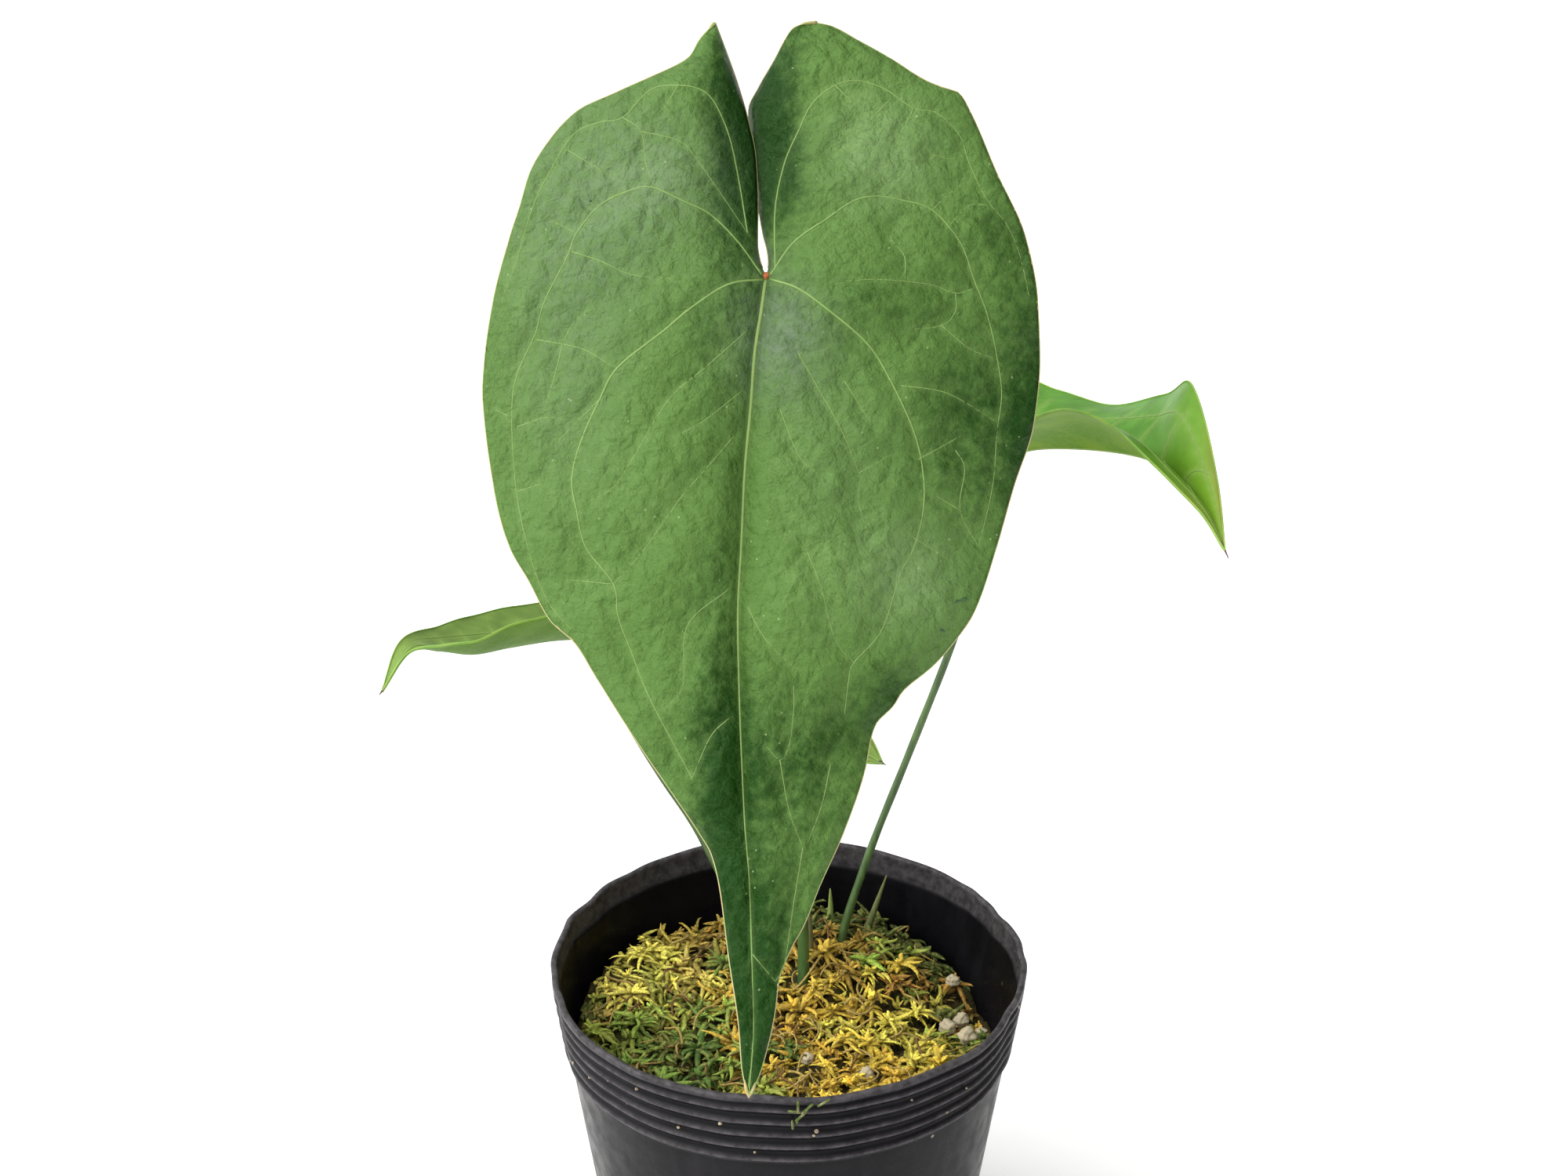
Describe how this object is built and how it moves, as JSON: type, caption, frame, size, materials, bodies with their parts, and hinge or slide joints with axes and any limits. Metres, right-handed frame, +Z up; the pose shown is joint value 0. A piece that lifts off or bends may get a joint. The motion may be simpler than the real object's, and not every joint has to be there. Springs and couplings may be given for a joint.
{
  "type": "potted anthurium",
  "caption": "Potted foliage plant with heart-shaped pointed leaves on slender petioles, standing in a tapered, ribbed nursery pot topped with moss.",
  "frame": {"origin": "centre of the pot's flat underside, on the surface the pot stands on", "axes": "+Z up along the pot's axis, -Y towards the face of the largest leaf, +X to the right of a viewer who faces that leaf"},
  "size_m": [0.2016, 0.2085, 0.3482],
  "materials": {
    "pot_plastic": "satin black, dusty at the rim",
    "potting_mix": "damp bark and peat crumbs",
    "moss": "soft yellow-green sphagnum",
    "crown": "rough brown plant base",
    "petiole": "smooth dark green",
    "cataphyll": "dry papery sheath",
    "leaf_mature": "satin, veined",
    "leaf_young": "glossy bright green",
    "leaf_grey": "pale satin green",
    "perlite": "rough porous grain"
  },
  "bodies": {
    "root": {"nursery_pot": "pot_plastic", "potting_mix": "potting_mix", "moss_layer": "moss", "crown": "crown", "front_leaf_petiole": "petiole", "right_leaf_petiole": "petiole", "left_leaf_petiole": "petiole", "back_leaf_petiole": "petiole", "cataphyll_green": "cataphyll", "cataphyll_olive": "cataphyll", "front_leaf_blade": "leaf_mature", "right_leaf_blade": "leaf_young", "left_leaf_blade": "leaf_grey", "back_leaf_blade": "leaf_young", "perlite_grain_1": "perlite", "perlite_grain_2": "perlite", "perlite_grain_3": "perlite", "perlite_grain_4": "perlite", "perlite_grain_5": "perlite", "perlite_grain_6": "perlite", "perlite_grain_7": "perlite"}
  },
  "joints": []
}
